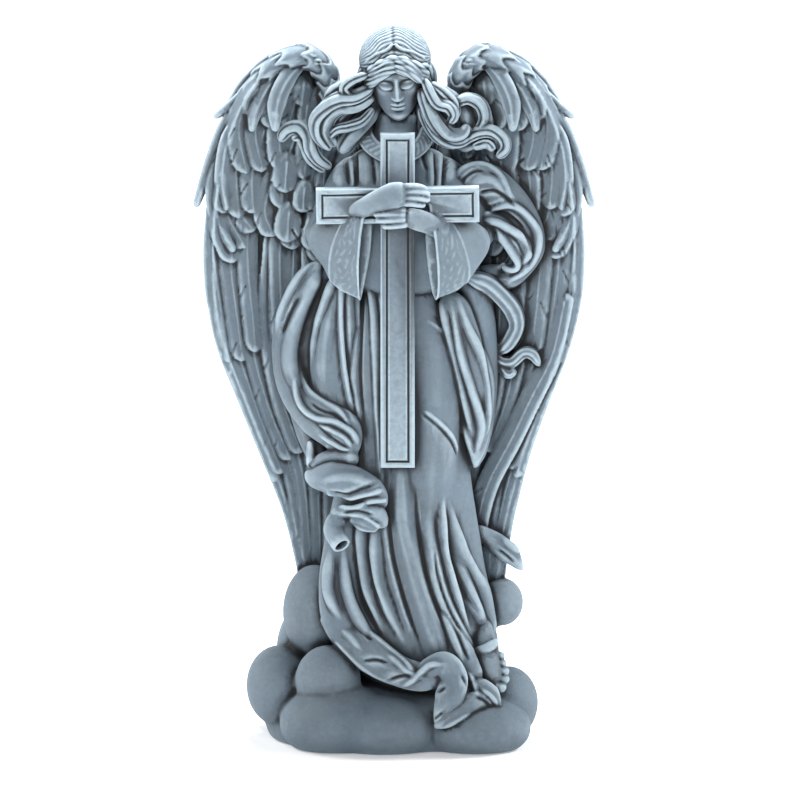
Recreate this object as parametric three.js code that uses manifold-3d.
// An angel of cast stone, made in one piece: a robed figure with tall wings clasps a cross
// and stands on cloud.
// Units are millimetres and +Z is up. The figure faces -Y, and the origin is on the flat underside.
import * as THREE from "three";
import { mergeVertices } from "three/addons/utils/BufferGeometryUtils.js";
import Module from "manifold-3d";

const wasm = await Module();
wasm.setup();

// The driving sizes of the casting.
const CROSS_THICK = 12;
const CROSS_BORDER = 4.5;
const BORDER_RISE = 1.6;
const MOST_FACES = 9800;
const FRONT = [0, -1, 0];
const STONE = { color: 0x7f8a92, roughness: 0.9, metalness: 0 };

// A solid from a closed three.js geometry.
function solid(geometry) {
  const bare = geometry.clone();
  for (const name of Object.keys(bare.attributes)) {
    if (name !== "position") {
      bare.deleteAttribute(name);
    }
  }
  const merged = mergeVertices(bare, 1e-3);
  return new wasm.Manifold(
    new wasm.Mesh({
      numProp: 3,
      vertProperties: merged.attributes.position.array,
      triVerts: new Uint32Array(merged.index.array),
    }),
  );
}

// A smooth curve through a few points.
function curveThrough(points) {
  const vectors = points.map((point) => new THREE.Vector3(...point));
  return new THREE.CatmullRomCurve3(vectors, false, "catmullrom", 0.5);
}

// The value at a share of the way along a list of numbers.
function along(values, share) {
  const place = share * (values.length - 1);
  const index = Math.min(Math.floor(place), values.length - 2);
  if (values.length === 1) {
    return values[0];
  }
  return THREE.MathUtils.lerp(values[index], values[index + 1], place - index);
}

// How much of its full section a form has at a share of its length. Its ends are round over
// the shares stated.
function roundEnds(share, [start, end]) {
  const fromStart = start > 0 ? Math.max(0, 1 - share / start) : 0;
  const fromEnd = end > 0 ? Math.max(0, 1 - (1 - share) / end) : 0;
  return Math.sqrt(Math.max(0, 1 - fromStart ** 2)) * Math.sqrt(Math.max(0, 1 - fromEnd ** 2));
}

// A closed form along a curve. Its section is `wide` across the view and `thick` towards the
// viewer, as half sizes along the curve, and `roll` turns it by degrees.
function form({ path, wide, thick, roll = [0], ends = [0.12, 0.12], sides = 8, steps = 7 }) {
  const curve = curveThrough(path);
  const toFront = new THREE.Vector3(...FRONT);
  const geometry = new THREE.SphereGeometry(1, sides, steps);
  const position = geometry.attributes.position;
  const uv = geometry.attributes.uv;
  for (let i = 0; i < position.count; i++) {
    const row = Math.round((1 - uv.getY(i)) * steps);
    const share = (1 - Math.cos((Math.PI * row) / steps)) / 2;
    const angle = Math.atan2(position.getZ(i), -position.getX(i));
    const pole = row === 0 || row === steps;
    const middle = curve.getPoint(share);
    const tangent = curve.getTangent(share);
    const normal = toFront.clone().addScaledVector(tangent, -toFront.dot(tangent)).normalize();
    const across = new THREE.Vector3().crossVectors(tangent, normal);
    normal.applyAxisAngle(tangent, THREE.MathUtils.degToRad(along(roll, share)));
    across.applyAxisAngle(tangent, THREE.MathUtils.degToRad(along(roll, share)));
    const full = pole ? 0 : roundEnds(share, ends);
    middle.addScaledVector(across, Math.cos(angle) * full * along(wide, share));
    middle.addScaledVector(normal, Math.sin(angle) * full * along(thick, share));
    position.setXYZ(i, middle.x, middle.y, middle.z);
  }
  return solid(geometry);
}

// An ellipsoid, leaning about the X axis by a number of degrees.
function lump(at, [rx, ry, rz], lean = 0, sides = 10, steps = 7) {
  const geometry = new THREE.SphereGeometry(1, sides, steps)
    .rotateX(Math.PI / 2)
    .scale(rx, ry, rz)
    .rotateX(THREE.MathUtils.degToRad(lean))
    .translate(...at);
  return solid(geometry);
}

function mirrored(points) {
  return points.map(([x, y, z]) => [-x, y, z]);
}

// A row of feathers. Each rail is a curve across the row, and every feather runs from the
// first rail to the last.
function featherRow({ rails, count, wide, thick, roll, taper = [0.55, 1, 1, 0.75] }, side) {
  const curves = rails.map((rail) => curveThrough(side < 0 ? rail : mirrored(rail)));
  return Array.from({ length: count }, (_, i) => {
    const share = i / (count - 1);
    const path = curves.map((curve) => curve.getPoint(share).toArray());
    return form({
      path,
      wide: taper.map((part) => part * wide),
      thick: taper.map(() => thick),
      roll: [side * roll],
      ends: [0.1, 0.16],
      sides: 6,
      steps: 5,
    });
  });
}

// Wings.

const WING_PLATE = {
  path: [
    [-74, 16, 547.5], [-88.5, 22, 501.5], [-96, 24, 438.5], [-97, 24, 368], [-88.5, 23, 293],
    [-78, 21, 227], [-71.5, 16, 144.5],
  ],
  wide: [28, 48, 56, 52, 38, 24, 13],
  thick: [11, 11, 9.5, 8.5, 8, 7, 6],
  roll: [24, 26, 28, 28, 24, 20, 16],
  sides: 10,
  steps: 10,
};
// The swell under the coverts.
const WING_PAD = {
  path: [[-67, 8, 565.5], [-87, 6, 532.5], [-101.5, 5, 488], [-108, 8, 445.5], [-108, 14, 414.5]],
  wide: [18, 38, 42, 40, 30],
  thick: [10, 12, 12, 10, 6],
  roll: [24, 28, 30, 30, 28],
  sides: 10,
  steps: 7,
};
const WING_ARCH = {
  path: [
    [-42.5, 24, 513], [-39.5, 14, 539.5], [-51, 6, 565], [-74, -2, 574], [-103.5, -8, 562],
    [-128, -12, 536.5], [-145, -14, 503.5], [-154, -13, 458], [-156, -9, 403],
  ],
  wide: [9, 10, 10, 10, 9, 8, 7, 6, 5],
  thick: [14, 15, 15, 14, 12, 11, 10, 9, 7],
  sides: 8,
  steps: 12,
};
const WING_ROWS = [
  // Primaries, which run down to the cloud.
  {
    rails: [
      [[-151, -11, 449], [-108, 13, 432.5], [-41, 38, 411.5]],
      [[-153.5, -11, 366], [-106.5, 14, 351.5], [-42.5, 38, 340.5]],
      [[-127, -2, 272.5], [-90, 14, 268], [-46, 32, 265]],
      [[-78.5, 4, 131.5], [-65.5, 8, 134.5], [-49, 22, 160]],
    ],
    count: 7,
    wide: 9.5,
    thick: 4,
    roll: 14,
    taper: [0.8, 1, 0.95, 0.75, 0.7],
  },
  // Secondaries.
  {
    rails: [
      [[-147.5, -14, 491], [-106.5, 8, 475], [-41, 34, 453.5]],
      [[-152.5, -16, 446], [-111.5, 7, 436], [-42.5, 34, 423]],
      [[-138, -16, 401.5], [-106.5, 6, 398], [-44.5, 34, 393]],
    ],
    count: 6,
    wide: 9.5,
    thick: 2.6,
    roll: 14,
  },
  // Greater coverts.
  {
    rails: [
      [[-129.5, -13, 539.5], [-97, 4, 524.5], [-39.5, 26, 504]],
      [[-147, -19, 496.5], [-108, 1, 482], [-42.5, 28, 471.5]],
      [[-139.5, -21, 441], [-105, 2, 432], [-44.5, 27, 435.5]],
    ],
    count: 7,
    wide: 9,
    thick: 2.6,
    roll: 14,
  },
  // Median coverts.
  {
    rails: [
      [[-111.5, -9, 558.5], [-75.5, 0, 558.5], [-41, 18, 530.5]],
      [[-128.5, -18, 533.5], [-93.5, -5, 529.5], [-47.5, 16, 509.5]],
      [[-137, -24, 493], [-105, -5, 494.5], [-57.5, 16, 486]],
    ],
    count: 7,
    wide: 8,
    thick: 2.6,
    roll: 14,
  },
  // Lesser coverts, like scales.
  {
    rails: [
      [[-97, -12, 567.5], [-67, -4, 567.5], [-42, 8, 542.5]],
      [[-103.5, -17, 551.5], [-77, -11, 549], [-52.5, 4, 529.5]],
      [[-108, -20, 534], [-80.5, -12, 526], [-59, 4, 511.5]],
    ],
    count: 6,
    wide: 6.5,
    thick: 2.6,
    roll: 10,
  },
];
const BACK_ROWS = [
  {
    rails: [
      [[-146, 6, 462.5], [-106.5, 29, 446], [-42.5, 54, 425]],
      [[-150, 6, 363], [-106.5, 29, 349], [-44.5, 54, 337.5]],
      [[-124.5, 12, 270], [-88.5, 28, 265.5], [-46, 46, 262.5]],
      [[-76.5, 14, 130], [-64, 20, 132], [-46, 32, 150]],
    ],
    count: 6,
    wide: 11,
    thick: 4,
    roll: -14,
    taper: [0.8, 1, 0.95, 0.8, 0.75],
  },
  {
    rails: [
      [[-123, 6, 542.5], [-90, 26, 534], [-46, 42, 514.5]],
      [[-144.5, 4, 488], [-106.5, 30, 471], [-46, 54, 458.5]],
      [[-146, 6, 417], [-105, 32, 410], [-46, 58, 412]],
    ],
    count: 6,
    wide: 11,
    thick: 2.8,
    roll: -14,
  },
  {
    rails: [
      [[-103.5, 6, 561], [-74, 14, 563], [-42.5, 26, 536]],
      [[-126.5, 4, 529.5], [-90, 28, 520.5], [-47.5, 42, 504.5]],
      [[-136, 4, 494.5], [-97, 32, 485], [-49, 54, 474]],
    ],
    count: 5,
    wide: 11,
    thick: 2.8,
    roll: -12,
  },
];
// Two feather tips that stand out past the wing's outline.
const WING_SPIKES = [
  [[-108, -2, 552.5], [-129.5, -4, 534.5], [-149, -4, 514.5]],
  [[-141, -4, 514.5], [-154, -3, 481], [-162.5, -2, 441.5]],
];

function wing(side) {
  const place = (points) => (side < 0 ? points : mirrored(points));
  const turned = (sheet) => ({ ...sheet, path: place(sheet.path), roll: sheet.roll.map((r) => side * r) });
  const plate = form(turned(WING_PLATE));
  const pad = form(turned(WING_PAD));
  const arch = form({ ...WING_ARCH, path: place(WING_ARCH.path) });
  const spikes = WING_SPIKES.map((path) =>
    form({ path: place(path), wide: [6, 5, 3], thick: [5, 4, 2], sides: 6, steps: 4 }),
  );
  const blade = form({
    path: place([[-26, 32, 416.5], [-34.5, 38, 457], [-47.5, 38, 490.5], [-52.5, 30, 517]]),
    wide: [22, 24, 22, 14],
    thick: [16, 15, 14, 10],
  });
  const root = form({
    path: place([[-18, 14, 457], [-40, 26, 476], [-62.5, 30, 492]]),
    wide: [22, 20, 16],
    thick: [14, 12, 9],
  });
  const rows = [...WING_ROWS, ...BACK_ROWS].flatMap((row) => featherRow(row, side));
  return [plate, pad, arch, blade, root, ...spikes, ...rows];
}

// Cloud base.

const CLOUDS = [
  { at: [-1.5, -4, 13], size: [104, 76, 42] },
  { at: [-49, -48, 17.5], size: [54, 40, 34] },
  { at: [-7.5, -58, 9.5], size: [62, 34, 26] },
  { at: [56, -50, 17], size: [54, 40, 28] },
  { at: [-94.5, -8, 44], size: [27, 40, 33] },
  { at: [-65.5, 0, 104], size: [26, 34, 39] },
  { at: [-54, -46, 55.5], size: [27, 26, 29] },
  { at: [93.5, -20, 32], size: [25, 34, 30] },
  { at: [87, 10, 107.5], size: [22, 26, 26] },
  { at: [74, 10, 70.5], size: [36, 38, 40] },
  { at: [-59, 30, 67], size: [38, 34, 46] },
  { at: [-77, 40, 32], size: [36, 30, 32] },
  { at: [1, 46, 42.5], size: [60, 34, 50] },
  { at: [60.5, 40, 43.5], size: [38, 36, 44] },
  { at: [34.5, 56, 17.5], size: [44, 26, 30] },
  { at: [-34.5, 54, 16.5], size: [48, 28, 32] },
  { at: [-1.5, 34, 100], size: [52, 28, 40] },
];

function clouds() {
  return CLOUDS.map(({ at, size }) => lump(at, size));
}

// Body under the robe.

const SKIRT = {
  path: [
    [3.5, -5, 396.5], [2.5, -8, 340.5], [5, -10, 282.5], [8, -12, 216], [15, -13, 149.5],
    [21.5, -15, 91.5], [25.5, -18, 34],
  ],
  wide: [31, 42, 52, 55, 58, 62, 52],
  thick: [28, 37, 42, 43, 45, 50, 48],
  sides: 16,
  steps: 10,
};
const TORSO = {
  path: [[3.5, -2, 491], [3.5, -6, 456.5], [3.5, -8, 415], [3.5, -6, 365]],
  wide: [30, 46, 40, 32],
  thick: [14, 24, 24, 26],
  sides: 12,
};
const BACK = {
  path: [[0, 18, 485.5], [0, 26, 392.5], [0, 28, 275.5], [3.5, 26, 143], [5, 20, 35.5]],
  wide: [42, 46, 48, 52, 56],
  thick: [26, 28, 28, 28, 30],
  sides: 12,
  steps: 8,
};

function body() {
  const neck = form({
    path: [[3.5, -8, 485], [3.5, -26, 525]],
    wide: [15, 12.5],
    thick: [15, 13],
    steps: 5,
  });
  const yoke = form({
    path: [[-52.5, -4, 464.5], [-36, -1, 482.5], [3.5, 0, 490.5], [42.5, -1, 482.5], [60, -4, 464.5]],
    wide: [14, 16, 15, 16, 14],
    thick: [14, 17, 18, 17, 14],
  });
  const arms = [
    [[-42.5, -2, 474], [-55, -12, 449], [-61.5, -26, 421.5]],
    [[50, -2, 474], [64, -12, 449], [70.5, -26, 421.5]],
  ].map((path) => form({ path, wide: [16, 17, 15], thick: [15, 16, 14] }));
  const leg = form({
    path: [[34.5, -22, 367.5], [36, -40, 304.5], [34.5, -46, 230.5], [36, -42, 155], [47.5, -38, 96]],
    wide: [16, 20, 19, 18, 17],
    thick: [16, 17, 16, 15, 14],
  });
  return [form(SKIRT), form(TORSO), form(BACK), neck, yoke, ...arms, leg];
}

// Head, face and hair.

// The head's own frame has its origin mid-head, with the face towards -Y, and it bows about the X axis.
const HEAD_CENTRE = [2.5, -18, 555.5];
const HEAD_BOW = 20;
const EYE_APART = 9;

function inHead([x, y, z]) {
  return new THREE.Vector3(x, y, z)
    .applyAxisAngle(new THREE.Vector3(1, 0, 0), THREE.MathUtils.degToRad(HEAD_BOW))
    .add(new THREE.Vector3(...HEAD_CENTRE))
    .toArray();
}

function head() {
  const skull = lump(inHead([0, 1, 5]), [27, 31, 31], HEAD_BOW, 14, 10);
  const face = lump(inHead([0, -9, -8]), [19.5, 19, 26], HEAD_BOW, 14, 12);
  const jaw = lump(inHead([0, -9, -22]), [14, 14.5, 12.5], HEAD_BOW, 12, 8);
  const chin = lump(inHead([0, -20, -29]), [6.5, 5.5, 5], HEAD_BOW, 8, 6);
  const nose = form({
    path: [[0, -27, 3], [0, -30.5, -5], [0, -32, -10]].map(inHead),
    wide: [2, 2.6, 3.8],
    thick: [3, 4, 4],
    sides: 6,
    steps: 5,
  });
  const lips = lump(inHead([0, -26.5, -17.5]), [6, 3, 3], HEAD_BOW, 8, 6);
  const brows = [-1, 1].map((side) =>
    form({
      path: [[side * 2, -26.5, 7], [side * EYE_APART, -26, 9], [side * 16.5, -19, 6]].map(inHead),
      wide: [2, 2.6, 2],
      thick: [2, 3, 3],
      sides: 6,
      steps: 5,
    }),
  );
  const lids = [-1, 1].map((side) =>
    lump(inHead([side * EYE_APART, -23, 0.5]), [5.2, 3.8, 3.4], HEAD_BOW, 8, 6),
  );
  return [skull, face, jaw, chin, nose, lips, ...brows, ...lids];
}

// Hair, parted over the forehead, with a narrow band across it.

const HAIR_CAP = { at: [0, 4, 9], size: [30, 34, 31] };
const HAIR_SIDES = [
  [[-3, -26, 26], [-16, -22, 22], [-26, -12, 8], [-29, -4, -8], [-28, 2, -24]],
  [[3, -26, 26], [16, -22, 22], [26, -12, 8], [29, -4, -8], [28, 2, -24]],
];
const BAND = [
  [-29, -1, 2], [-25, -15, 14], [-14, -27, 19.5], [0, -31, 21], [14, -27, 19.5], [25, -15, 14],
  [29, -1, 2],
];
const FRINGE = [
  [[-1, -29, 20], [-10, -27.5, 15], [-19, -20, 6], [-24, -13, -6], [-26, -8, -18]],
  [[1, -29, 20], [10, -27.5, 15], [19, -20, 6], [24, -13, -6], [26, -8, -18]],
];
const LOCKS = [
  {
    path: [
      [-21.5, -34, 549.5], [-34.5, -30, 542.5], [-47.5, -28, 537], [-57.5, -28, 522],
      [-59, -26, 503.5], [-51.5, -22, 484.5],
    ],
    wide: 5,
  },
  {
    path: [
      [-19.5, -22, 539.5], [-33, -28, 532], [-44.5, -28, 528.5], [-51, -26, 515], [-49, -24, 496.5],
    ],
    wide: 5,
  },
  {
    path: [
      [-18, -18, 532], [-28, -24, 519.5], [-39.5, -28, 515.5], [-46, -26, 503.5], [-42.5, -22, 486],
    ],
    wide: 5,
  },
  { path: [[-13, -8, 527], [-24.5, -14, 506], [-36, -16, 496.5], [-41, -12, 482.5]], wide: 6.5 },
  {
    path: [
      [-23, -24, 541.5], [-34.5, -20, 549], [-41, -18, 538.5], [-46, -14, 516], [-52.5, -10, 490.5],
    ],
    wide: 7,
  },
  {
    path: [
      [-51, -14, 473], [-65.5, -14, 478], [-75.5, -14, 491], [-83.5, -14, 506], [-96, -14, 508.5],
      [-103.5, -14, 498],
    ],
    wide: 4.5,
  },
  { path: [[-47.5, -10, 482], [-62.5, -10, 490.5], [-70.5, -10, 502], [-78.5, -10, 510.5]], wide: 4.5 },
  {
    path: [
      [24.5, -28, 548.5], [37.5, -26, 537.5], [51, -26, 531.5], [57.5, -24, 519.5],
      [51, -22, 507.5],
    ],
    wide: 5.5,
  },
  {
    path: [
      [24.5, -20, 539], [34.5, -24, 523], [42.5, -24, 509.5], [54, -22, 502.5], [65.5, -20, 509],
    ],
    wide: 5.5,
  },
  {
    path: [
      [23, -16, 528], [31, -20, 512.5], [41, -22, 497.5], [57.5, -20, 492.5], [72, -18, 495.5],
    ],
    wide: 6,
  },
  {
    path: [
      [56, -20, 505.5], [69, -18, 510.5], [77, -16, 523], [70.5, -15, 534.5], [59, -15, 531.5],
    ],
    wide: 5,
  },
  {
    path: [
      [54, -22, 499.5], [74, -18, 502], [88.5, -16, 495], [92, -16, 483.5], [84.5, -16, 475],
    ],
    wide: 5,
  },
  { path: [[29.5, -22, 539.5], [42.5, -20, 537.5], [54, -16, 521.5], [60.5, -12, 501]], wide: 10 },
  { path: [[62.5, -16, 491.5], [77, -16, 488.5], [87, -14, 478]], wide: 5 },
  { path: [[47.5, -6, 490], [62.5, -4, 499.5], [72, -4, 513], [65.5, -4, 528], [51, -6, 535]], wide: 12 },
];

function hair() {
  const cap = lump(inHead(HAIR_CAP.at), HAIR_CAP.size, HEAD_BOW, 18, 12);
  const sides = HAIR_SIDES.map((path) =>
    form({ path: path.map(inHead), wide: [4, 9, 11, 10, 6], thick: [4, 7, 7, 7, 5], steps: 6 }),
  );
  const band = form({ path: BAND.map(inHead), wide: [2.8], thick: [2.8], sides: 6, steps: 10 });
  const fringe = FRINGE.map((path) =>
    form({ path: path.map(inHead), wide: [2.5, 4.5, 5, 5, 3.5], thick: [3, 4, 4.5, 4.5, 4], steps: 6 }),
  );
  const locks = LOCKS.map(({ path, wide }) =>
    form({
      path,
      wide: [0.8, 1, 1, 0.8, 0.3].map((part) => part * wide),
      thick: [1, 1, 1, 0.8, 0.4].map((part) => part * wide),
      sides: 6,
      steps: 8,
    }),
  );
  const nape = form({
    path: [[2.5, 8, 554], [2.5, 6, 521], [2.5, 8, 479]],
    wide: [24, 28, 26],
    thick: [12, 16, 12],
  });
  return [cap, ...sides, band, ...fringe, ...locks, nape];
}

// Cross: a post and an arm, each with a raised border round its face.

function crossBar(length, across, centre, turn) {
  const bar = new THREE.BoxGeometry(length, CROSS_THICK, across);
  const inside = [length, across].map((size) => size - 2 * CROSS_BORDER);
  const panel = new THREE.BoxGeometry(inside[0], BORDER_RISE * 2, inside[1]);
  panel.translate(0, -CROSS_THICK / 2, 0);
  const lean = (geometry) => geometry.rotateY(turn).translate(...centre);
  return solid(lean(bar)).subtract(solid(lean(panel)));
}

function cross() {
  const post = crossBar(276, 28, [3, -58, 373.5], THREE.MathUtils.degToRad(90));
  const arm = crossBar(133, 29, [3, -58.4, 452.5], THREE.MathUtils.degToRad(0.8));
  return [post, arm];
}

// Sleeves and hands.

const SLEEVES = [
  {
    path: [[-67, -26, 431.5], [-56, -36, 427], [-42.5, -48, 422.5], [-30.5, -58, 418], [-26, -60, 418.5]],
    wide: [12, 24, 34, 39, 38],
    thick: [13, 15, 15, 14, 13],
    mouth: [[-49, -46, 423.5], [-36, -56, 420.5], [-18, -70, 416]],
  },
  {
    path: [[74, -26, 426.5], [64, -36, 420], [52.5, -50, 414.5], [41, -60, 408], [36, -62, 408]],
    wide: [12, 22, 32, 37, 36],
    thick: [13, 15, 15, 14, 13],
    mouth: [[57.5, -48, 415.5], [44.5, -58, 410.5], [26, -72, 405]],
  },
];
const HANDS = [
  {
    arm: [[-34.5, -56, 443.5], [-21.5, -68, 451.5], [-6.5, -76, 458], [8, -78, 460]],
    fingers: [
      [[5, -77, 465.5], [16.5, -77, 468], [28, -72, 464]],
      [[6.5, -78, 461.5], [18, -78, 463.5], [29.5, -73, 460]],
      [[6.5, -78, 457.5], [18, -78, 458.5], [28.5, -73, 455]],
      [[5, -77, 453], [15, -77, 453], [24.5, -73, 450]],
    ],
  },
  {
    arm: [[42.5, -56, 425.5], [31, -66, 434.5], [18, -72, 442.5], [6.5, -74, 446]],
    fingers: [
      [[8, -74, 449.5], [-3.5, -74, 450], [-15.5, -70, 449.5]],
      [[8, -74, 446], [-3.5, -74, 446], [-16.5, -70, 446]],
      [[8, -74, 442.5], [-1.5, -74, 442], [-13, -70, 442]],
      [[10, -73, 440], [1.5, -72, 438], [-6.5, -69, 437.5]],
    ],
  },
];

function sleevesAndHands() {
  const sleeves = SLEEVES.map((sleeve) => {
    const inside = form({
      path: sleeve.mouth,
      wide: [16, 28, 38],
      thick: [6, 10, 14],
      ends: [0.2, 0],
      sides: 10,
    });
    return form({ ...sleeve, ends: [0.25, 0.02], sides: 12, steps: 7 }).subtract(inside);
  });
  const hands = HANDS.map(({ arm }) =>
    form({ path: arm, wide: [7, 6.5, 9, 9], thick: [7, 6, 5, 4] }),
  );
  const fingers = HANDS.flatMap((hand) =>
    hand.fingers.map((path) => form({ path, wide: [2.6], thick: [2.6], sides: 6, steps: 4 })),
  );
  return [...sleeves, ...hands, ...fingers];
}

// Folds of the robe and the mantle: ridges along their points, with half sizes.

// A robe fold's point is its place across the view, its lift from the robe, and its height.
const ROBE_FOLDS = [
  { path: [[-42.5, 1, 386.5], [-56, 1, 346.5], [-62.5, 1, 311.5], [-57.5, 0, 288]], wide: 5, thick: 6 },
  { path: [[-34.5, 1, 384.5], [-42, 2, 334], [-37, 2, 288], [-28, 1, 261.5]], wide: 6, thick: 7 },
  { path: [[-26, 1, 384.5], [-27, 2, 329.5], [-20.5, 2, 279.5], [-15, 1, 246.5]], wide: 6, thick: 7 },
  { path: [[-16.5, 1, 384.5], [-14, 2, 329.5], [-8, 2, 271.5], [-5, 1, 229.5]], wide: 6, thick: 7 },
  { path: [[24.5, 1, 379.5], [21.5, 2, 321.5], [23, 1, 271.5]], wide: 5, thick: 6 },
  { path: [[-37.5, 1, 167.5], [-34.5, 2, 121.5], [-18, 4, 84], [3.5, 6, 61.5]], wide: 6, thick: 8 },
  { path: [[-26, 1, 178], [-19.5, 2, 121.5], [0, 4, 80], [24.5, 6, 51.5]], wide: 6, thick: 8 },
  { path: [[-13, 1, 204.5], [-7.5, 2, 134], [11.5, 4, 86.5], [37.5, 6, 50]], wide: 6, thick: 8 },
  { path: [[1.5, 1, 238], [4, 2, 155], [19.5, 4, 105], [51, 6, 46.5]], wide: 9, thick: 7 },
  {
    path: [
      [21.5, 1, 221.5], [24.5, 2, 150.5], [39.5, 4, 105], [65.5, 6, 65], [80.5, 2, 46.5],
    ],
    wide: 7,
    thick: 8,
  },
  { path: [[41, 1, 163], [44.5, 2, 121.5], [60.5, 4, 91.5], [80.5, 4, 80]], wide: 7, thick: 8 },
  { path: [[51, 1, 180], [65.5, 2, 134], [78.5, 3, 109], [89.5, 3, 88]], wide: 8, thick: 8 },
  { path: [[-44.5, 1, 155], [-51, 1, 130], [-40, 2, 105]], wide: 6, thick: 7 },
];
const CHEST_FOLDS = [
  { path: [[-26, -14, 489.5], [-33, -20, 475.5], [-34.5, -20, 457.5]], wide: 4, thick: 5 },
  { path: [[-15, -17, 488.5], [-19.5, -25, 475], [-20.5, -27, 457]], wide: 4, thick: 5 },
  { path: [[24.5, -17, 488.5], [28, -25, 475], [28, -27, 457]], wide: 4, thick: 5 },
  { path: [[36, -14, 489.5], [41, -20, 475.5], [42.5, -20, 457.5]], wide: 4, thick: 5 },
];
const MANTLE_FOLDS = [
  // Over the left arm, on the right of the view.
  {
    path: [
      [42.5, -22, 462.5], [52.5, -22, 477.5], [72, -16, 478.5], [93.5, -10, 462], [108, -8, 440],
      [115, -8, 415],
    ],
    wide: 5,
    thick: 8,
  },
  {
    path: [
      [47.5, -26, 458.5], [64, -26, 468.5], [85.5, -22, 457.5], [103.5, -16, 436.5],
      [115, -12, 411],
    ],
    wide: 5,
    thick: 8,
  },
  {
    path: [
      [62.5, -30, 451], [78.5, -30, 454], [98.5, -26, 440], [111.5, -20, 420.5], [115, -16, 401.5],
    ],
    wide: 5,
    thick: 8,
  },
  {
    path: [
      [70.5, -32, 441], [87, -32, 441], [103.5, -28, 425.5], [113, -22, 407.5], [106.5, -20, 390.5],
      [87, -22, 387.5],
    ],
    wide: 5,
    thick: 8,
  },
  {
    path: [
      [72, -32, 434.5], [85.5, -34, 430], [96, -32, 414.5], [95, -28, 400.5], [78.5, -26, 398.5],
    ],
    wide: 3.5,
    thick: 6,
  },
  // Down the side of the legs.
  {
    path: [
      [42.5, -34, 373], [54, -36, 332.5], [65.5, -34, 286.5], [71.5, -30, 244.5], [69, -28, 227.5],
    ],
    wide: 5,
    thick: 7,
  },
  {
    path: [
      [51, -32, 378], [67, -30, 331.5], [77, -26, 285], [77, -24, 251.5], [69.5, -26, 228.5],
    ],
    wide: 5.5,
    thick: 7,
  },
  { path: [[37.5, -34, 370], [46, -38, 320.5], [54, -36, 270.5], [64, -32, 239.5]], wide: 4, thick: 6 },
  // From under the right sleeve to the knot, on the left of the view.
  {
    path: [
      [-56, -24, 399.5], [-77, -18, 372], [-89.5, -14, 341.5], [-92.5, -14, 309.5],
      [-82, -20, 277.5], [-62.5, -30, 246],
    ],
    wide: 5,
    thick: 7,
  },
  {
    path: [
      [-52.5, -26, 393.5], [-69, -22, 367.5], [-78.5, -20, 334], [-80.5, -22, 303],
      [-65.5, -30, 281], [-41, -42, 264.5], [-26, -50, 243],
    ],
    wide: 6,
    thick: 8,
  },
  {
    path: [
      [-75.5, -22, 291], [-62.5, -34, 271.5], [-41, -46, 255.5], [-31, -52, 236.5],
    ],
    wide: 6,
    thick: 8,
  },
  { path: [[-77, -22, 281], [-65.5, -36, 257], [-46, -48, 242.5], [-31, -52, 230]], wide: 5, thick: 7 },
  {
    path: [
      [-83.5, -12, 341], [-85.5, -14, 299.5], [-72, -20, 259], [-59, -30, 227.5],
    ],
    wide: 12,
    thick: 6,
  },
];
// The cloth under the mantle's folds.
const MANTLE_CLOTH = [
  {
    path: [
      [-52.5, -8, 397], [-69, -4, 356], [-74, -4, 306.5], [-62.5, -12, 257.5], [-47.5, -24, 218],
    ],
    wide: [12, 18, 20, 18, 12],
    thick: [12, 13, 14, 14, 14],
  },
  {
    path: [
      [59, -6, 396.5], [69, -8, 348.5], [72, -8, 298.5], [70.5, -12, 257.5], [65.5, -16, 227],
    ],
    wide: [14, 14, 13, 10, 6],
    thick: [18, 18, 16, 13, 10],
  },
  {
    path: [
      [52.5, 2, 465], [80.5, 4, 461.5], [101.5, 4, 438], [108, 2, 407], [93.5, 0, 384],
      [62.5, -6, 385],
    ],
    wide: [12, 13, 13, 12, 11, 11],
    thick: [10, 10, 10, 10, 10, 12],
  },
];
const KNOT = [
  {
    path: [
      [-64, -38, 235.5], [-67, -44, 220], [-52.5, -54, 217], [-31, -60, 223], [-13, -60, 208],
      [-8, -54, 190],
    ],
    wide: 11,
    thick: 12,
  },
  {
    path: [
      [-60.5, -44, 212], [-41, -58, 202.5], [-21.5, -62, 208.5], [-8, -58, 201],
    ],
    wide: 8,
    thick: 11,
  },
  {
    path: [
      [-8, -54, 202.5], [-5, -52, 181.5], [-19.5, -54, 172], [-34.5, -58, 182.5], [-46, -58, 177.5],
      [-47.5, -56, 155.5],
    ],
    wide: 9,
    thick: 10,
  },
  {
    path: [
      [-26, -50, 231], [-44.5, -46, 230.5], [-62.5, -40, 236], [-65.5, -42, 223],
    ],
    wide: 6,
    thick: 8,
  },
];
const RIBBON = [
  {
    path: [
      [59, -26, 392], [78.5, -16, 378.5], [93.5, -7, 363.5], [100, -2, 346], [93.5, 0, 329],
      [83.5, 0, 320.5],
    ],
    wide: [8, 8, 8, 8, 7, 6],
    thick: [9, 9, 9, 9, 9, 9],
  },
  {
    path: [
      [80.5, -1, 325.5], [85.5, 0, 312], [95, 0, 310.5], [103.5, -1, 319], [113, -2, 319.5],
      [119.5, -2, 304.5],
    ],
    wide: [6, 6, 6, 6, 6, 4],
    thick: [9, 9, 9, 8, 8, 8],
  },
];
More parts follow.
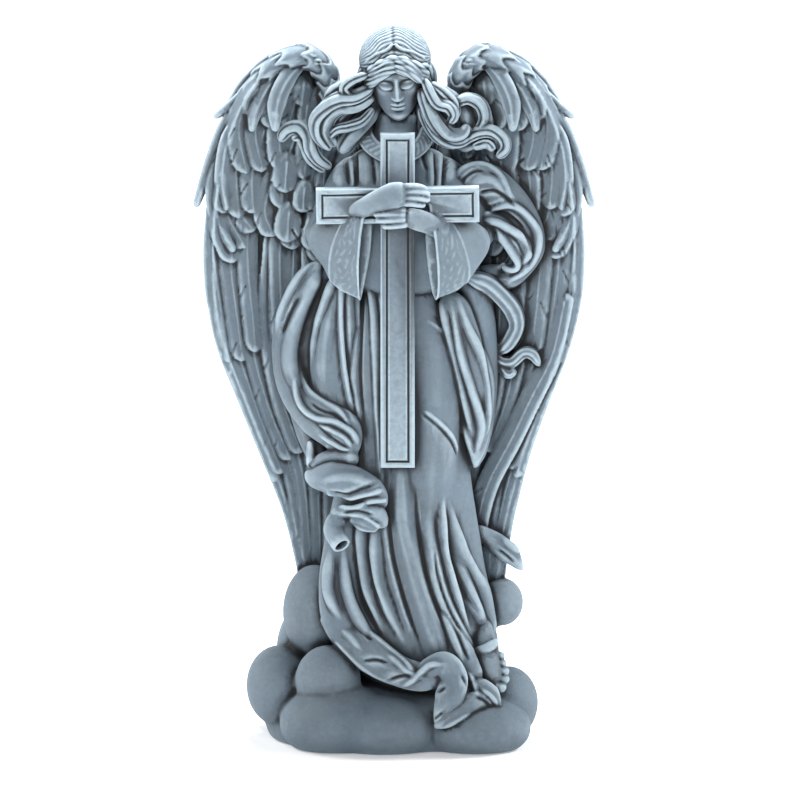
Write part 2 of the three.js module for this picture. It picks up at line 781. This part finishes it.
const HEM = [
  {
    path: [
      [-59, -36, 110.5], [-40, -52, 96.5], [-19.5, -62, 79], [3.5, -70, 63], [28, -74, 60.5],
      [49, -76, 52.5],
    ],
    wide: [7, 13, 15, 13, 12, 10],
    thick: [5, 7, 8, 8, 8, 7],
  },
  { path: [[52.5, -74, 57], [49, -82, 42], [34.5, -86, 27.5]], wide: [9, 10, 8], thick: [8, 8, 6] },
  {
    path: [
      [29.5, -84, 25.5], [51, -82, 30.5], [72, -74, 34], [93.5, -64, 42],
    ],
    wide: [7, 10, 10, 8],
    thick: [7, 8, 7, 5],
  },
  { path: [[62.5, -62, 50], [75.5, -64, 42], [87, -62, 40]], wide: [12, 10, 6], thick: [8] },
];
const FOOT = [
  {
    path: [
      [74, -34, 87], [80.5, -46, 74], [87, -54, 60.5], [90, -56, 50.5],
    ],
    wide: [9, 10, 10, 8],
    thick: [9, 9, 8, 6],
  },
  { path: [[89.5, -46, 75.5], [96, -47, 69]], wide: [2.6], thick: [3] },
  { path: [[90, -49, 69.5], [97.5, -50, 64]], wide: [2.6], thick: [3] },
  { path: [[91, -51, 64], [98.5, -52, 58.5]], wide: [2.8], thick: [3] },
  { path: [[90, -54, 57], [97.5, -55, 50.5]], wide: [3.6], thick: [4] },
];

// A fold whose points stand their lift in front of the robe.
function onRobe(fold) {
  const axis = curveThrough(SKIRT.path);
  const path = fold.path.map(([x, lift, z]) => {
    const share = shareAtHeight(axis, z);
    const middle = axis.getPoint(share);
    const out = (x - middle.x) / along(SKIRT.wide, share);
    return [x, middle.y - along(SKIRT.thick, share) * Math.sqrt(Math.max(0.04, 1 - out ** 2)) - lift, z];
  });
  return { ...fold, path };
}

// The share of the way along a falling curve where it passes a height.
function shareAtHeight(curve, z) {
  let [high, low] = [0, 1];
  for (let i = 0; i < 20; i++) {
    const middle = (high + low) / 2;
    if (curve.getPoint(middle).z > z) {
      high = middle;
    } else {
      low = middle;
    }
  }
  return high;
}

function ridges(folds) {
  const swell = [0.55, 1, 1, 0.6];
  return folds.map(({ path, wide, thick }) =>
    form({
      path,
      wide: Array.isArray(wide) ? wide : swell.map((part) => part * wide),
      thick: Array.isArray(thick) ? thick : swell.map((part) => part * thick),
      sides: 6,
      steps: 3 * path.length - 3,
    }),
  );
}

function drapery() {
  const mantle = [MANTLE_CLOTH, MANTLE_FOLDS, KNOT, RIBBON];
  return [ROBE_FOLDS.map(onRobe), CHEST_FOLDS, ...mantle, HEM, FOOT].flatMap(ridges);
}

// Thinning: joining many forms leaves slivers, so edges are merged where that moves the
// surface least.

// The squared distances to a triangle's plane, as the ten numbers of a symmetric matrix,
// weighted by its area.
function planeQuadric(a, b, c) {
  const normal = new THREE.Vector3().subVectors(b, a).cross(new THREE.Vector3().subVectors(c, a));
  const area = normal.length();
  normal.normalize();
  const { x, y, z } = normal;
  const w = -normal.dot(a);
  return [x * x, x * y, x * z, x * w, y * y, y * z, y * w, z * z, z * w, w * w].map((part) => part * area);
}

function quadricCost(q, { x, y, z }) {
  const squares = q[0] * x * x + q[4] * y * y + q[7] * z * z + q[9];
  return squares + 2 * (q[1] * x * y + q[2] * x * z + q[3] * x + q[5] * y * z + q[6] * y + q[8] * z);
}

// The place on or between two points where a quadric is least.
function leastPlace(q, a, b) {
  const inverse = new THREE.Matrix3().set(q[0], q[1], q[2], q[1], q[4], q[5], q[2], q[5], q[7]);
  const middle = a.clone().lerp(b, 0.5);
  const tries = [a.clone(), b.clone(), middle];
  if (Math.abs(inverse.determinant()) > 1e-6 * Math.max(q[0], q[4], q[7]) ** 3) {
    const best = new THREE.Vector3(-q[3], -q[6], -q[8]).applyMatrix3(inverse.invert());
    if (best.distanceTo(middle) < a.distanceTo(b)) {
      tries.push(best);
    }
  }
  const costs = tries.map((place) => Math.max(0, quadricCost(q, place)) + 1e-6 * place.distanceTo(middle));
  const least = Math.min(...costs);
  return { place: tries[costs.indexOf(least)], cost: least };
}

class Thinner {
  constructor({ vertProperties, triVerts }) {
    this.points = Array.from({ length: vertProperties.length / 3 }, (_, i) =>
      new THREE.Vector3().fromArray(vertProperties, 3 * i),
    );
    this.faces = Array.from({ length: triVerts.length / 3 }, (_, i) => [
      ...triVerts.subarray(3 * i, 3 * i + 3),
    ]);
    this.facesOf = this.points.map(() => new Set());
    this.quadrics = this.points.map(() => new Array(10).fill(0));
    this.version = new Uint32Array(this.points.length);
    this.heap = [];
    this.faces.forEach((face, index) => {
      const quadric = planeQuadric(...face.map((v) => this.points[v]));
      for (const v of face) {
        this.facesOf[v].add(index);
        this.quadrics[v] = this.quadrics[v].map((part, i) => part + quadric[i]);
      }
    });
    for (const [a, b, c] of this.faces) {
      for (const [from, to] of [[a, b], [b, c], [c, a]]) {
        if (from < to) {
          this.offer(from, to);
        }
      }
    }
  }

  neighbours(v) {
    return new Set([...this.facesOf[v]].flatMap((face) => this.faces[face]).filter((other) => other !== v));
  }

  // Puts an edge in the heap, which keeps the cheapest merge on top.
  offer(a, b) {
    const quadric = this.quadrics[a].map((part, i) => part + this.quadrics[b][i]);
    const { place, cost } = leastPlace(quadric, this.points[a], this.points[b]);
    const heap = this.heap;
    let child = heap.push({ a, b, place, cost, quadric, seen: this.version[a] + this.version[b] }) - 1;
    while (child > 0 && heap[(child - 1) >> 1].cost > heap[child].cost) {
      const parent = (child - 1) >> 1;
      [heap[parent], heap[child]] = [heap[child], heap[parent]];
      child = parent;
    }
  }

  cheapest() {
    const heap = this.heap;
    const top = heap[0];
    const last = heap.pop();
    if (heap.length) {
      heap[0] = last;
    }
    let parent = 0;
    while (2 * parent + 1 < heap.length) {
      let child = 2 * parent + 1;
      if (child + 1 < heap.length && heap[child + 1].cost < heap[child].cost) {
        child += 1;
      }
      if (heap[parent].cost <= heap[child].cost) {
        break;
      }
      [heap[parent], heap[child]] = [heap[child], heap[parent]];
      parent = child;
    }
    return top;
  }

  // Whether moving a vertex keeps each of its faces, but those on the other vertex, turned the way it was.
  keepsFaces(moved, other, place) {
    return [...this.facesOf[moved]].every((index) => {
      const face = this.faces[index];
      if (face.includes(other)) {
        return true;
      }
      const before = face.map((v) => this.points[v]);
      const after = face.map((v) => (v === moved ? place : this.points[v]));
      const [was, now] = [before, after].map((corners) =>
        new THREE.Triangle(...corners).getNormal(new THREE.Vector3()),
      );
      return was.dot(now) > 0.3;
    });
  }

  merge({ a, b, place, quadric }) {
    for (const index of [...this.facesOf[b]]) {
      const face = this.faces[index];
      if (face.includes(a)) {
        face.forEach((v) => this.facesOf[v].delete(index));
        this.faces[index] = null;
        this.left -= 1;
      } else {
        face[face.indexOf(b)] = a;
        this.facesOf[a].add(index);
      }
    }
    this.facesOf[b].clear();
    this.points[a] = place;
    this.quadrics[a] = quadric;
    this.version[a] += 1;
    this.version[b] += 1e6;
    for (const other of this.neighbours(a)) {
      this.offer(a, other);
    }
  }

  thinTo(count) {
    this.left = this.faces.length;
    while (this.left > count && this.heap.length) {
      const edge = this.cheapest();
      const { a, b, place, seen } = edge;
      if (seen !== this.version[a] + this.version[b] || !this.facesOf[a].size || !this.facesOf[b].size) {
        continue;
      }
      const around = this.neighbours(b);
      const shared = [...this.neighbours(a)].filter((v) => around.has(v));
      if (shared.length === 2 && this.keepsFaces(a, b, place) && this.keepsFaces(b, a, place)) {
        this.merge(edge);
      }
    }
    const faces = this.faces.filter(Boolean);
    const geometry = new THREE.BufferGeometry().setFromPoints(this.points);
    return solid(geometry.setIndex(faces.flat()));
  }
}

// The casting: everything joined into one solid without hidden hollows, cut off flat at the
// ground.

function casting() {
  const forms = [
    ...clouds(),
    ...body(),
    ...head(),
    ...hair(),
    ...cross(),
    ...sleevesAndHands(),
    ...drapery(),
    ...wing(-1),
    ...wing(1),
  ];
  const below = solid(new THREE.BoxGeometry(600, 600, 200).translate(0, 0, -100));
  const joined = forms.reduce((whole, next) => whole.add(next));
  const shells = joined.decompose().filter((shell) => shell.volume() > 0);
  shells.sort((a, b) => b.volume() - a.volume());
  return new Thinner(shells[0].getMesh()).thinTo(MOST_FACES).subtract(below);
}

function meshOf(made, name) {
  const { numProp, vertProperties, triVerts } = made.getMesh();
  const geometry = new THREE.BufferGeometry();
  if (numProp !== 3) {
    throw new Error("the casting's vertices hold more than places");
  }
  geometry.setAttribute("position", new THREE.BufferAttribute(vertProperties, 3));
  geometry.setIndex(new THREE.BufferAttribute(triVerts, 1));
  geometry.computeVertexNormals();
  const mesh = new THREE.Mesh(geometry, new THREE.MeshStandardMaterial(STONE));
  mesh.name = name;
  return mesh;
}

const statue = new THREE.Group();
statue.add(meshOf(casting(), "angel_statue"));

export default statue;
